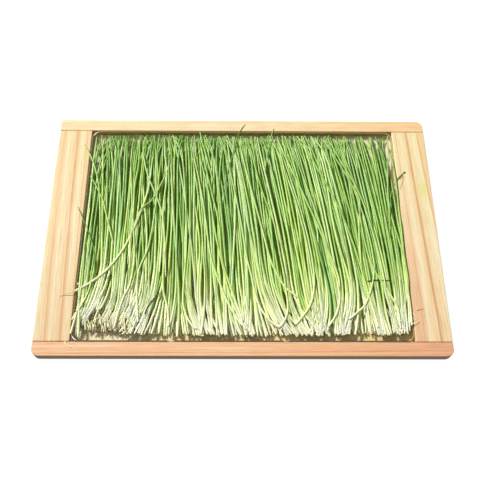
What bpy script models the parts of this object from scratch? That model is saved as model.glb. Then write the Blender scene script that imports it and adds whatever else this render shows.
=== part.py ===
"""Tray of green onion shoots.

A shallow frame of two side boards and two end battens, with a thin base board let in between them.
A clear plastic liner lines its well, and the cut shoots lie in it side by side, in three handfuls.

Metres, +Z up. The origin is on the underside, in the middle of the tray. X runs along the tray's
long side, and +Y runs from the white cut ends of the shoots towards their green tips.
"""

import math
import random

import bmesh
import bpy

MM = 0.001

# The wooden frame and its base board
TRAY_LENGTH = 176 * MM
TRAY_WIDTH = 119 * MM
SIDE_BOARD_WIDTH = 15.5 * MM
BATTEN_WIDTH = 6.2 * MM
FRAME_TOP = 4.4 * MM
BASE_THICKNESS = 1.0 * MM
JOINT_GAP = 0.2 * MM
EASED_EDGE = 0.3 * MM
CORNER_RADIUS = 3.3 * MM
WORN_CORNER_RADIUS = 1.8 * MM
WELL_LENGTH = TRAY_LENGTH - 2 * SIDE_BOARD_WIDTH
WELL_WIDTH = TRAY_WIDTH - 2 * BATTEN_WIDTH

# The clear liner
LINER_GAP = 0.25 * MM
LINER_THICKNESS = 0.4 * MM
LINER_CORNER_RADIUS = 4.0 * MM
LINER_FLOOR_RADIUS = 0.9 * MM
LINER_BOTTOM = BASE_THICKNESS + JOINT_GAP
LINER_TOP = FRAME_TOP - 0.3 * MM
CORNER_STEPS = 6
FLOOR_STEPS = 3

# The mat of shoots
SHOOT_RADIUS = 0.5 * MM
SHOOT_PITCH = 1.4 * MM
CUT_END_Y = -50.8 * MM
TIP_END_Y = 50.2 * MM
END_SCATTER = 1.6 * MM
LINER_FLOOR = LINER_BOTTOM + LINER_THICKNESS
CORE_BOTTOM = LINER_FLOOR + 0.3 * MM
CORE_TOP = CORE_BOTTOM + 1.7 * MM
CORE_SETBACK = 6.0 * MM
TOP_LAYER_Z = CORE_TOP - 0.12 * MM
TOP_LAYER_SCATTER = 0.08 * MM
LOW_LAYER_Z = CORE_BOTTOM + 0.75 * MM
LOW_LAYER_PITCH = 3.3 * MM
END_DROOP = 0.5 * MM
DROOP_SHARE = 0.12
STRAY_LIFT = 1.1 * MM
STRAY_SINK = 0.75 * MM
SINK_SHARE = 0.25
STRAY_REACH = 12 * MM
STRAY_MARGIN = 2.6 * MM
STRAY_BOW = 1.2 * MM
STRAY_SETBACK = (2 * MM, 12 * MM)
TIP_TAPER = 0.3
SHOOT_SIDES_RESOLUTION = 0
SHOOT_POINTS = 7
CORE_ROWS = 3
BUNCH_GAP = 0.35 * MM
BEND_POWER = 1.5
RANDOM_SEED = 11

# How far to the side a tip lies from its cut end: where the cut end is, and the shift, in mm
LEAN_KNOTS = ((-71.2, 0.0), (-45, -1.5), (-25, -3.0), (0, -9.0), (35, -13.0), (57, -11.5), (71.2, 0.0))

# The three handfuls, by where their cut ends start and stop, in mm, and the strays on each
BUNCHES = (
    ("shoots_left", -71.2, -24.0, 7),
    ("shoots_middle", -24.0, 24.0, 7),
    ("shoots_right", 24.0, 71.2, 8),
)

# Loose shoots that reach out over the boards, as points in mm, root first
OVERHANGS = {
    "shoots_left": (
        ((-78.5, -32.9, 5.0), (-72.2, -30.6, 5.0), (-66.2, -25.9, 4.9), (-59.5, -18.5, 4.8),
         (-53.8, -11.8, 4.7), (-49.1, -1.8, 4.6), (-46.0, 9.0, 4.3), (-43.5, 20.2, 3.9)),
        ((-66.0, 22.0, 3.9), (-68.9, 32.3, 4.7), (-72.4, 39.6, 5.0), (-75.9, 46.5, 5.0)),
        ((-65.5, -8.0, 3.9), (-67.4, -3.8, 4.6), (-70.8, 3.3, 5.0), (-75.1, 10.6, 5.0)),
    ),
    "shoots_middle": (
        ((-5.0, 38.0, 3.9), (-3.4, 45.0, 4.5), (-2.2, 50.4, 5.0), (-0.5, 54.2, 5.0), (1.5, 57.2, 5.0)),
    ),
    "shoots_right": (
        ((67.5, 14.0, 3.9), (70.6, 19.5, 4.7), (73.2, 24.8, 5.0), (74.3, 27.8, 5.0), (76.2, 29.6, 5.0)),
    ),
}


def clear_scene():
    for obj in list(bpy.data.objects):
        bpy.data.objects.remove(obj, do_unlink=True)


def new_collection(name):
    collection = bpy.data.collections.new(name)
    bpy.context.scene.collection.children.link(collection)
    return collection


def new_material(name, color, roughness, transmission=0.0):
    material = bpy.data.materials.new(name)
    material.use_nodes = True
    shader = material.node_tree.nodes["Principled BSDF"]
    shader.inputs["Base Color"].default_value = (*color, 1.0)
    shader.inputs["Roughness"].default_value = roughness
    shader.inputs["Metallic"].default_value = 0.0
    shader.inputs["Transmission Weight"].default_value = transmission
    material.diffuse_color = (*color, 1.0)
    return material


def add_mesh_object(name, bm, collection, material=None, location=(0, 0, 0)):
    mesh = bpy.data.meshes.new(name)
    bm.to_mesh(mesh)
    bm.free()
    obj = bpy.data.objects.new(name, mesh)
    obj.location = location
    collection.objects.link(obj)
    if material:
        mesh.materials.append(material)
    return obj


# Boards

def box_bmesh(size):
    bm = bmesh.new()
    bmesh.ops.create_cube(bm, size=1.0)
    bmesh.ops.scale(bm, vec=size, verts=bm.verts)
    return bm


def ease_edges(obj):
    bevel = obj.modifiers.new("eased edges", "BEVEL")
    bevel.width = EASED_EDGE
    bevel.segments = 2
    bevel.limit_method = "ANGLE"
    bevel.angle_limit = math.radians(40)


def round_corner(bm, side_x, side_y, radius):
    """Rounds the upright edge on the given side of a box in plan."""
    def is_corner(vert):
        return vert.co.x * side_x > 0 and vert.co.y * side_y > 0

    edges = [edge for edge in bm.edges if all(is_corner(vert) for vert in edge.verts)]
    bmesh.ops.bevel(bm, geom=edges, offset=radius, segments=CORNER_STEPS, profile=0.5, affect="EDGES")


def side_board(name, side, collection, material):
    size = (SIDE_BOARD_WIDTH, WELL_WIDTH - 2 * JOINT_GAP, FRAME_TOP)
    centre = (side * (TRAY_LENGTH - SIDE_BOARD_WIDTH) / 2, 0, FRAME_TOP / 2)
    obj = add_mesh_object(name, box_bmesh(size), collection, material, centre)
    ease_edges(obj)
    return obj


def end_batten(name, side, left_radius, right_radius, collection, material):
    bm = box_bmesh((TRAY_LENGTH, BATTEN_WIDTH, FRAME_TOP))
    round_corner(bm, -1, side, left_radius)
    round_corner(bm, 1, side, right_radius)
    centre = (0, side * (TRAY_WIDTH - BATTEN_WIDTH) / 2, FRAME_TOP / 2)
    obj = add_mesh_object(name, bm, collection, material, centre)
    ease_edges(obj)
    return obj


def base_board(collection, material):
    size = (WELL_LENGTH - 2 * JOINT_GAP, WELL_WIDTH - 2 * JOINT_GAP, BASE_THICKNESS)
    centre = (0, 0, BASE_THICKNESS / 2)
    return add_mesh_object("base_board", box_bmesh(size), collection, material, centre)


# Liner

def rounded_rectangle(half_x, half_y, radius, z):
    """Points of a rectangle with round corners, anticlockwise, at height z."""
    points = []
    for corner in range(4):
        sign_x = 1 if corner in (0, 3) else -1
        sign_y = 1 if corner in (0, 1) else -1
        for step in range(CORNER_STEPS + 1):
            angle = math.radians(90) * (corner + step / CORNER_STEPS)
            x = sign_x * (half_x - radius) + radius * math.cos(angle)
            y = sign_y * (half_y - radius) + radius * math.sin(angle)
            points.append((x, y, z))
    return points


def liner_rings(half_x, half_y):
    """The liner's outer surface as rings, from the edge of its flat floor up its wall."""
    rings = []
    for step in range(FLOOR_STEPS + 1):
        angle = math.radians(90) * step / FLOOR_STEPS
        inset = LINER_FLOOR_RADIUS * (1 - math.sin(angle))
        rise = LINER_FLOOR_RADIUS * (1 - math.cos(angle))
        ring = rounded_rectangle(half_x - inset, half_y - inset, LINER_CORNER_RADIUS - inset,
                                 LINER_BOTTOM + rise)
        rings.append(ring)
    rings.append(rounded_rectangle(half_x, half_y, LINER_CORNER_RADIUS, LINER_TOP))
    return rings


def liner_tray(collection, material):
    rings = liner_rings(WELL_LENGTH / 2 - LINER_GAP, WELL_WIDTH / 2 - LINER_GAP)
    bm = bmesh.new()
    loops = [[bm.verts.new(point) for point in ring] for ring in rings]
    bm.faces.new(reversed(loops[0]))
    for low, high in zip(loops, loops[1:]):
        for index in range(len(low)):
            after = (index + 1) % len(low)
            bm.faces.new((low[index], low[after], high[after], high[index]))
    obj = add_mesh_object("liner_tray", bm, collection, material)
    shell = obj.modifiers.new("sheet", "SOLIDIFY")
    shell.thickness = LINER_THICKNESS
    shell.offset = -1.0
    shell.use_even_offset = True
    obj.data.shade_smooth()
    obj.data.set_sharp_from_angle(angle=math.radians(35))
    return obj


# Shoots

def lean_of(base_x):
    """How far to the side a shoot's tip lies from its cut end, smoothly between the knots."""
    base_mm = base_x / MM
    for (start, start_lean), (stop, stop_lean) in zip(LEAN_KNOTS, LEAN_KNOTS[1:]):
        if base_mm <= stop:
            share = (base_mm - start) / (stop - start)
            blend = (1 - math.cos(math.pi * share)) / 2
            return (start_lean + (stop_lean - start_lean) * blend) * MM
    return LEAN_KNOTS[-1][1] * MM


def column_x(base_x, tip_x, y):
    """Sideways place of a shoot at y: upright at the cut ends and leaning more towards the tips."""
    share = max(0.0, (y - CUT_END_Y) / (TIP_END_Y - CUT_END_Y))
    return base_x + (tip_x - base_x) * share ** BEND_POWER


def shoot_path(base_x, tip_x, ends_y, height_at, bow=0.0):
    """Centre line of one shoot, root first, bowed to the side by an amount."""
    base_y, tip_y = ends_y
    path = []
    for step in range(SHOOT_POINTS):
        along = step / (SHOOT_POINTS - 1)
        y = base_y + (tip_y - base_y) * along
        x = column_x(base_x, tip_x, y) + bow * math.sin(math.pi * along)
        path.append((x, y, height_at(along)))
    return path


def shoot_mesh(name, path, collection):
    """A slim tube along the path, a little thinner at its tip, closed at both ends."""
    curve = bpy.data.curves.new(name, "CURVE")
    curve.dimensions = "3D"
    curve.bevel_depth = SHOOT_RADIUS
    curve.bevel_resolution = SHOOT_SIDES_RESOLUTION
    curve.use_fill_caps = True
    spline = curve.splines.new("POLY")
    spline.points.add(len(path) - 1)
    for index, point in enumerate(path):
        spline.points[index].co = (*point, 1.0)
        spline.points[index].radius = 1.0 - TIP_TAPER * (index / (len(path) - 1)) ** 3
    guide = bpy.data.objects.new(name, curve)
    collection.objects.link(guide)
    bpy.context.view_layer.update()
    evaluated = guide.evaluated_get(bpy.context.evaluated_depsgraph_get())
    mesh = bpy.data.meshes.new_from_object(evaluated)
    bm = bmesh.new()
    bm.from_mesh(mesh)
    bmesh.ops.remove_doubles(bm, verts=bm.verts, dist=0.001 * MM)
    bm.to_mesh(mesh)
    bm.free()
    obj = bpy.data.objects.new(name, mesh)
    obj.matrix_world = guide.matrix_world
    collection.objects.link(obj)
    bpy.data.objects.remove(guide, do_unlink=True)
    bpy.data.curves.remove(curve)
    return obj


def height_profile(level, fall, share):
    """Height along a shoot that lies at a level and falls by an amount over a share at each end."""
    def height_at(along):
        return level - fall * max(0.0, 1 - min(along, 1 - along) / share)
    return height_at


def scattered_ends(draw):
    return (CUT_END_Y + draw.uniform(0, END_SCATTER), TIP_END_Y - draw.uniform(0, END_SCATTER))


def columns(start, stop, pitch):
    """Evenly spaced places from start to stop, a shoot's radius and a gap inside both."""
    margin = SHOOT_RADIUS + BUNCH_GAP / 2
    first, last = start + margin, stop - margin
    count = round((last - first) / pitch) + 1
    return [first + (last - first) * index / (count - 1) for index in range(count)]


def core(name, start, stop, collection):
    """The hidden heart of a handful: a thin slab that the shoots stand out of all round."""
    bm = bmesh.new()
    bmesh.ops.create_grid(bm, x_segments=1, y_segments=CORE_ROWS, size=0.5)
    margin = SHOOT_RADIUS + BUNCH_GAP / 2
    for vert in bm.verts:
        across, along = vert.co.x + 0.5, vert.co.y + 0.5
        base_x = start + margin + (stop - start - 2 * margin) * across
        y = CUT_END_Y + CORE_SETBACK + (TIP_END_Y - CUT_END_Y - 2 * CORE_SETBACK) * along
        vert.co = (column_x(base_x, base_x + lean_of(base_x), y), y, CORE_BOTTOM)
    bottom = list(bm.faces)
    raised = bmesh.ops.extrude_face_region(bm, geom=bottom)["geom"]
    top_verts = [item for item in raised if isinstance(item, bmesh.types.BMVert)]
    bmesh.ops.translate(bm, vec=(0, 0, CORE_TOP - CORE_BOTTOM), verts=top_verts)
    bmesh.ops.recalc_face_normals(bm, faces=bm.faces)
    return add_mesh_object(name, bm, collection)


def lay_shoots(start, stop, stray_count, draw, collection):
    """Fills a collection with the shoots of one handful: a top layer, a low layer and strays."""
    for base_x in columns(start, stop, SHOOT_PITCH):
        level = TOP_LAYER_Z + draw.uniform(-1, 1) * TOP_LAYER_SCATTER
        path = shoot_path(base_x, base_x + lean_of(base_x), scattered_ends(draw),
                          height_profile(level, END_DROOP, DROOP_SHARE))
        shoot_mesh("top", path, collection)
    for base_x in columns(start, stop, LOW_LAYER_PITCH):
        path = shoot_path(base_x, base_x + lean_of(base_x), scattered_ends(draw),
                          height_profile(LOW_LAYER_Z, 0.0, DROOP_SHARE))
        shoot_mesh("low", path, collection)
    for place in columns(start + STRAY_MARGIN, stop - STRAY_MARGIN, (stop - start) / stray_count):
        target_x = place + draw.uniform(-1, 1) * STRAY_REACH
        target_x = min(max(target_x, start + STRAY_MARGIN), stop - STRAY_MARGIN)
        ends_y = (CUT_END_Y + draw.uniform(*STRAY_SETBACK), TIP_END_Y - draw.uniform(*STRAY_SETBACK))
        path = shoot_path(place, target_x + lean_of(target_x), ends_y,
                          height_profile(TOP_LAYER_Z + STRAY_LIFT, STRAY_SINK, SINK_SHARE),
                          draw.uniform(-1, 1) * STRAY_BOW)
        shoot_mesh("stray", path, collection)


def keep_outer_shell(mesh):
    """Keeps the largest closed surface, which fills sealed hollows and drops loose scraps."""
    bm = bmesh.new()
    bm.from_mesh(mesh)
    island_of = {}
    islands = []
    for seed in bm.verts:
        if seed in island_of:
            continue
        island = [seed]
        island_of[seed] = len(islands)
        for vert in island:
            for edge in vert.link_edges:
                other = edge.other_vert(vert)
                if other not in island_of:
                    island_of[other] = len(islands)
                    island.append(other)
        islands.append(island)
    largest = max(islands, key=len)
    doomed = [vert for island in islands if island is not largest for vert in island]
    bmesh.ops.delete(bm, geom=doomed, context="VERTS")
    bm.to_mesh(mesh)
    bm.free()


def bunch(name, start, stop, stray_count, collection, material):
    """One handful of shoots, joined with its core into a single closed body."""
    draw = random.Random(f"{name} {RANDOM_SEED}")
    loose = new_collection(name + " loose shoots")
    lay_shoots(start, stop, stray_count, draw, loose)
    for points in OVERHANGS[name]:
        shoot_mesh("overhang", [(x * MM, y * MM, z * MM) for x, y, z in points], loose)
    obj = core(name, start, stop, collection)
    union = obj.modifiers.new("joined shoots", "BOOLEAN")
    union.operation = "UNION"
    union.operand_type = "COLLECTION"
    union.collection = loose
    bpy.context.view_layer.update()
    joined = bpy.data.meshes.new_from_object(obj.evaluated_get(bpy.context.evaluated_depsgraph_get()))
    obj.modifiers.clear()
    obj.data = joined
    for shoot in list(loose.objects):
        bpy.data.objects.remove(shoot, do_unlink=True)
    bpy.data.collections.remove(loose)
    keep_outer_shell(joined)
    joined.name = name
    joined.materials.clear()
    joined.materials.append(material)
    return obj


def build():
    clear_scene()
    parts = new_collection("tray of green onion shoots")
    cream_wood = new_material("cream wood", (0.90, 0.74, 0.46), 0.6)
    peach_wood = new_material("peach wood", (0.86, 0.56, 0.32), 0.6)
    pale_board = new_material("pale board", (0.88, 0.80, 0.62), 0.7)
    clear_plastic = new_material("clear plastic", (0.95, 0.96, 0.93), 0.08, transmission=0.9)
    shoot_green = new_material("shoot green", (0.34, 0.58, 0.17), 0.45)
    base_board(parts, pale_board)
    side_board("side_board_left", -1, parts, cream_wood)
    side_board("side_board_right", 1, parts, cream_wood)
    end_batten("end_batten_front", -1, CORNER_RADIUS, CORNER_RADIUS, parts, peach_wood)
    end_batten("end_batten_back", 1, WORN_CORNER_RADIUS, CORNER_RADIUS, parts, cream_wood)
    liner_tray(parts, clear_plastic)
    for name, start, stop, stray_count in BUNCHES:
        bunch(name, start * MM, stop * MM, stray_count, parts, shoot_green)


build()
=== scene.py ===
# %% [markdown]
# # A tray of green onion shoots
# The real object is a shallow wooden frame, about 176 by 119 mm, with a clear plastic liner in it.
# Some hundreds of cut green onion shoots lie in the liner as one mat: white cut ends at the front,
# green tips at the back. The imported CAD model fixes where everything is. This script gives the
# boards their grain, and lays every shoot anew, one on top of the other, in the CAD mat's place.

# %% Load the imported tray
import math

import bmesh
import bpy
import numpy as np
from mathutils import Matrix, Vector


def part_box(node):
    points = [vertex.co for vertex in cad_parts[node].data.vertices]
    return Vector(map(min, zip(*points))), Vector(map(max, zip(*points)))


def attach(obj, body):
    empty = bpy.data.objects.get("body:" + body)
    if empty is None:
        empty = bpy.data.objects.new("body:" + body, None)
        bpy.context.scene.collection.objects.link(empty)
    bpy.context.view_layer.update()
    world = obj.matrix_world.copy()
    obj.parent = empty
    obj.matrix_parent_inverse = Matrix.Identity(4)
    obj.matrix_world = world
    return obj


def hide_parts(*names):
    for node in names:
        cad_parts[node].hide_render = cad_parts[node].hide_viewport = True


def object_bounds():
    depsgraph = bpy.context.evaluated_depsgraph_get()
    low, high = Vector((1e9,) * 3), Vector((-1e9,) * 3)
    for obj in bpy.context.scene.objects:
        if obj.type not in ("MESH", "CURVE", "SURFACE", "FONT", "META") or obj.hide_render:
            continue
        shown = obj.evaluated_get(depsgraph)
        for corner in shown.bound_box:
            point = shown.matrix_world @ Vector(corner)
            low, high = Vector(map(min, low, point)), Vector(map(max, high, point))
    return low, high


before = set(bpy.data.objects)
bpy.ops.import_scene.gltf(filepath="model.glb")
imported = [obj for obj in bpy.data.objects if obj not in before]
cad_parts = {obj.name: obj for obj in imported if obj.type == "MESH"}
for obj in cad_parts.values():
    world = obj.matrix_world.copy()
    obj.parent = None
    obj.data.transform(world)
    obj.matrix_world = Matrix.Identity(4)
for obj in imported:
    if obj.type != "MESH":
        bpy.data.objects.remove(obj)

CAD_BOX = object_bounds()
MM = 0.001
print("CAD box in metres:", [list(corner) for corner in CAD_BOX])

# %% [markdown]
# ## Camera
# The photograph looks down at the tray from the front, 63 degrees above the table, from about a
# third of a metre away. The lens value turns the photograph's perspective, measured on the tray's
# corners and joints, into a focal length on Blender's 36 mm sensor. The tray doesn't lie quite
# square to the lens, so the camera is turned aside by a degree and rolled back by as much.

# %% Camera
CAMERA_PLACE = Vector((-4.51, -148.0, 288.6)) * MM
CAMERA_ASIDE = math.radians(-1.34)
CAMERA_TILT = math.radians(26.6)
CAMERA_ROLL = math.radians(1.39)
CAMERA_LENS = 53.25


def new_object(name, data):
    obj = bpy.data.objects.new(name, data)
    bpy.context.scene.collection.objects.link(obj)
    return obj


camera_data = bpy.data.cameras.new("camera")
camera_data.lens = CAMERA_LENS
camera_data.sensor_width = 36.0
camera_data.clip_start = 0.01
camera_data.clip_end = 20.0
camera = new_object("camera", camera_data)
aside = Matrix.Rotation(CAMERA_ASIDE, 4, "Z")
tilt = Matrix.Rotation(CAMERA_TILT, 4, "X")
roll = Matrix.Rotation(CAMERA_ROLL, 4, "Z")
camera.matrix_world = Matrix.Translation(CAMERA_PLACE) @ aside @ tilt @ roll
bpy.context.scene.camera = camera
print("camera height above the table in mm:", round(camera.location.z / MM, 1))

# %% [markdown]
# ## Node helpers
# Every material below is a tree of shader nodes. One helper fills a node's inputs with numbers or
# with the output of other nodes, and another adds a node to the same tree as the nodes that feed
# it, so that each material reads as a short recipe. Noise is often drawn out along one axis,
# because wood and leaves grow lengthwise.

# %% Node helpers
def is_output(value):
    return isinstance(value, bpy.types.NodeSocket)


def fill_inputs(node, inputs):
    """Sets a node's inputs, found by name or number, or links them to another node's output."""
    for name, value in inputs.items():
        if is_output(value):
            node.id_data.links.new(value, node.inputs[name])
        else:
            node.inputs[name].default_value = value


def add_node(kind, inputs, tree=None, **settings):
    """Adds a node to a tree. Without one, it is the tree of the first output that feeds it."""
    if tree is None:
        tree = next(value.id_data for value in inputs.values() if is_output(value))
    node = tree.nodes.new(kind)
    for name, value in settings.items():
        setattr(node, name, value)
    fill_inputs(node, inputs)
    return node


def calculate(operation, first, second=0.0, third=0.0):
    inputs = {0: first, 1: second, 2: third}
    return add_node("ShaderNodeMath", inputs, operation=operation).outputs[0]


def subtract(first, second):
    return calculate("SUBTRACT", first, second)


def multiply(first, second):
    return calculate("MULTIPLY", first, second)


def rescale(value, low, high, new_low=0.0, new_high=1.0, kind="SMOOTHSTEP"):
    """Moves a value from one range to another, smoothly or evenly, and stops at both ends."""
    inputs = {"Value": value, "From Min": low, "From Max": high, "To Min": new_low, "To Max": new_high}
    return add_node("ShaderNodeMapRange", inputs, interpolation_type=kind).outputs["Result"]


def mix_colours(share, first, second, blend_type="MIX"):
    inputs = {0: share, 6: first, 7: second}
    node = add_node("ShaderNodeMix", inputs, data_type="RGBA", blend_type=blend_type)
    return node.outputs[2]


def noise(vector, scale, detail=2.0, roughness=0.5):
    inputs = {"Vector": vector, "Scale": scale, "Detail": detail, "Roughness": roughness}
    return add_node("ShaderNodeTexNoise", inputs).outputs["Fac"]


def stretched_noise(parts, stretch, scale, detail=2.0, roughness=0.5):
    """Noise at the point with these parts. A small stretch draws it out along that part."""
    point = add_node("ShaderNodeCombineXYZ", dict(enumerate(parts))).outputs[0]
    place = add_node("ShaderNodeVectorMath", {0: point, 1: stretch}, operation="MULTIPLY")
    return noise(place.outputs[0], scale, detail, roughness)


def bump(height, strength, depth):
    """Tilts the surface as a pattern of heights would, that is so many mm deep."""
    inputs = {"Height": height, "Strength": strength, "Distance": depth * MM}
    return add_node("ShaderNodeBump", inputs).outputs["Normal"]


def colour_ramp(position, stops):
    """A colour that changes with position from 0 to 1, through the given stops."""
    ramp = add_node("ShaderNodeValToRGB", {"Fac": position})
    elements = ramp.color_ramp.elements
    elements.remove(elements[1])
    elements[0].position, elements[0].color = stops[0]
    for place, colour in stops[1:]:
        elements.new(place).color = colour
    return ramp.outputs["Color"]


def tone(red, green, blue, strength=1.0):
    """A colour as read off a screen, 0 to 255, turned into the linear values that shaders use."""
    linear = []
    for value in (red, green, blue):
        share = value / 255
        share = share / 12.92 if share < 0.04045 else ((share + 0.055) / 1.055) ** 2.4
        linear.append(share * strength)
    return (*linear, 1.0)


def new_material(name):
    material = bpy.data.materials.new(name)
    material.use_nodes = True
    tree = material.node_tree
    return material, tree, tree.nodes["Principled BSDF"]


def place_in_mm(tree):
    """The point on the object that is being shaded, in mm, as one vector and as x, y and z."""
    coordinates = add_node("ShaderNodeTexCoord", {}, tree).outputs["Object"]
    vector = add_node("ShaderNodeVectorMath", {0: coordinates, "Scale": 1 / MM}, operation="SCALE")
    parts = add_node("ShaderNodeSeparateXYZ", {0: vector.outputs[0]})
    return vector.outputs[0], parts.outputs[0], parts.outputs[1], parts.outputs[2]


print("node helpers ready")

# %% [markdown]
# ## Softwood
# The boards are bare planed softwood. A saw cuts the year rings lengthwise, so they show as long,
# nearly straight lines: broad cream bands of early wood, and thin tan lines of late wood. Each line
# is sharp on one side and soft on the other. An image could be pasted on, but it would stretch at
# the edges. Here a colour ramp across the board holds the bands and lines at their measured places,
# the ramp drifts sideways along the board as the rings do, and stretched noise adds fine fibres,
# short flecks and pale and dark patches.

# %% Wood colours and ring stops
WOOD_STRENGTH = 0.92


def wood(red, green, blue):
    return tone(red, green, blue, WOOD_STRENGTH)


PALE = wood(254, 242, 202)
CREAM = wood(252, 234, 188)
PEACH = wood(250, 220, 170)
SALMON = wood(244, 206, 162)
LIGHT_LINE = wood(238, 193, 144)
TAN_LINE = wood(226, 174, 124)
ORANGE_LINE = wood(216, 164, 112)
# The next two colours darken the faces that look to the front: the front batten's, for its sawn wood and
# as painted shade, and the back batten's face inside the well, as painted shade.
SAWN_AND_SHADED_FACE = wood(198, 174, 144)
SHADED_INNER_FACE = wood(206, 160, 104)
STAIN = wood(232, 222, 130)
FIBRE_TINT = wood(236, 222, 198)


def ring_stops(ground, lines):
    """Lays thin lines over a ground of broad bands. A line is (mm, sharp side, soft side, colour)."""
    places = [mm for mm, _ in ground]

    def ground_at(mm):
        return tuple(float(np.interp(mm, places, [colour[part] for _, colour in ground]))
                     for part in range(4))

    stops = []
    for mm, colour in ground:
        if not any(line - sharp <= mm <= line + soft for line, sharp, soft, _ in lines):
            stops.append((mm, colour))
    for line, sharp, soft, colour in lines:
        stops.append((line - sharp, ground_at(line - sharp)))
        stops.append((line, colour))
        stops.append((line + soft, ground_at(line + soft)))
    return sorted(stops, key=lambda stop: stop[0])


BOARD_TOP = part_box("side_board_left")[1].z / MM
TRAY_LENGTH, WELL_DEPTH = 176.0, 106.6
print("board top in mm:", round(BOARD_TOP, 2))

# %% Softwood material
RISE_SHIFT = 0.35       # how far the rings move sideways for each mm of depth


def ring_place(along, across, z, middle, drift):
    """Where a point lies among the year rings, in mm across the board as seen at its middle."""
    slope, slope_change, bend = drift
    slow = stretched_noise((along, across, z), (0.02, 1.0, 1.0), 0.35)
    wobble = subtract(slow, 0.5)
    from_middle = subtract(across, middle)
    local_slope = calculate("MULTIPLY_ADD", from_middle, slope_change, slope)
    straight = subtract(across, multiply(local_slope, along))
    curve = multiply(multiply(along, along), bend)
    ring = subtract(straight, curve)
    depth = subtract(z, BOARD_TOP)
    return calculate("ADD", calculate("MULTIPLY_ADD", depth, RISE_SHIFT, ring), wobble)


def add_grain(colour, parts):
    """Dark and pale streaks, fine fibres and short flecks over the rings' colour."""
    streaks = stretched_noise(parts, (0.012, 1.0, 0.3), 1.1, 4.0, 0.6)
    fibres = stretched_noise(parts, (0.05, 2.2, 1.0), 1.6, 4.0, 0.65)
    flecks = stretched_noise(parts, (0.35, 3.0, 1.0), 1.4, 1.0)
    colour = mix_colours(rescale(streaks, 0.48, 0.72, 0.0, 0.5), colour, LIGHT_LINE)
    colour = mix_colours(rescale(streaks, 0.46, 0.28, 0.0, 0.6), colour, PALE)
    darker = mix_colours(1.0, colour, FIBRE_TINT, "MULTIPLY")
    colour = mix_colours(rescale(fibres, 0.56, 0.30, 0.0, 0.8), colour, darker)
    colour = mix_colours(rescale(flecks, 0.64, 0.74, 0.0, 0.45), colour, TAN_LINE)
    return colour, fibres


def stain_share(x, y, z, stain):
    """A faint blot where sap has dried: a ragged spot at (x, y) in mm, with a radius."""
    stain_x, stain_y, radius = stain
    away_x = subtract(x, stain_x)
    away_y = multiply(subtract(y, stain_y), 0.45)
    squared = calculate("ADD", multiply(away_x, away_x), multiply(away_y, away_y))
    ragged = stretched_noise((x, y, z), (1.0, 1.0, 0.0), 0.7, 3.0, 0.7)
    edge = multiply(subtract(ragged, 0.5), 4.0)
    away = calculate("ADD", calculate("SQRT", squared), edge)
    return rescale(away, radius, radius * 0.2, 0.0, 0.7)


def shaded_front_share(x, reach):
    """Where the face that looks to the front is darkened, as painted shade and sawn wood: reach mm to
    either side.
    """
    normal = add_node("ShaderNodeTexCoord", {}, x.id_data).outputs["Normal"]
    facing = add_node("ShaderNodeSeparateXYZ", {0: normal}).outputs[1]
    bare = rescale(calculate("ABSOLUTE", x), reach + 0.2, reach, 0.0, 0.9)
    return multiply(rescale(facing, -0.3, -0.9), bare)


def softwood(name, along_axis, edges, drift, front, back, tints, shaded_front_face=None, stain=None):
    """Planed softwood. Front and back are its ring stops at the two ends, and tints run along it.
    Its front-face colour and reach darken the face that looks to the front: painted shade, and on the
    front batten sawn wood as well."""
    material, tree, shader = new_material(name)
    _, x, y, z = place_in_mm(tree)
    along, across, length = (y, x, WELL_DEPTH) if along_axis == "Y" else (x, y, TRAY_LENGTH)
    low, high = edges
    ring = ring_place(along, across, z, (low + high) / 2, drift)
    position = rescale(ring, low, high, kind="LINEAR")
    along_share = rescale(along, -length / 2, length / 2, kind="LINEAR")
    ramps = []
    for stops in (front, back):
        shifted = [((mm - low) / (high - low), colour) for mm, colour in stops]
        ramps.append(colour_ramp(position, shifted))
    colour = mix_colours(rescale(along_share, 0.1, 0.9), *ramps)
    colour = mix_colours(1.0, colour, colour_ramp(along_share, tints), "MULTIPLY")
    colour, fibres = add_grain(colour, (along, ring, z))
    if stain is not None:
        colour = mix_colours(stain_share(x, y, z, stain), colour, STAIN)
    # Painted shade: the face that looks to the front is darkened, on the front batten also for its sawn
    # wood.
    if shaded_front_face is not None:
        front_face_colour, reach = shaded_front_face
        colour = mix_colours(shaded_front_share(x, reach), colour, front_face_colour)
    fill_inputs(shader, {"Base Color": colour, "Normal": bump(fibres, 0.3, 0.06),
                         "Roughness": rescale(fibres, 0.2, 0.8, 0.72, 0.52)})
    return material


print("softwood ready")

# %% [markdown]
# ## The four boards
# Each board has its own rings. The left board's tan lines run from its outer edge at the back
# inwards to the front. The right board has one strong line down its middle, and a salmon band
# along the well that starts half way. The battens' rings run left to right, and the front batten is
# cut from redder wood. The front batten's front face is sawn and not planed, and is painted darker,
# partly for that and partly as painted shade, since the lamp stands behind it. The back batten's
# face inside the well is painted brown as painted shade.

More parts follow.
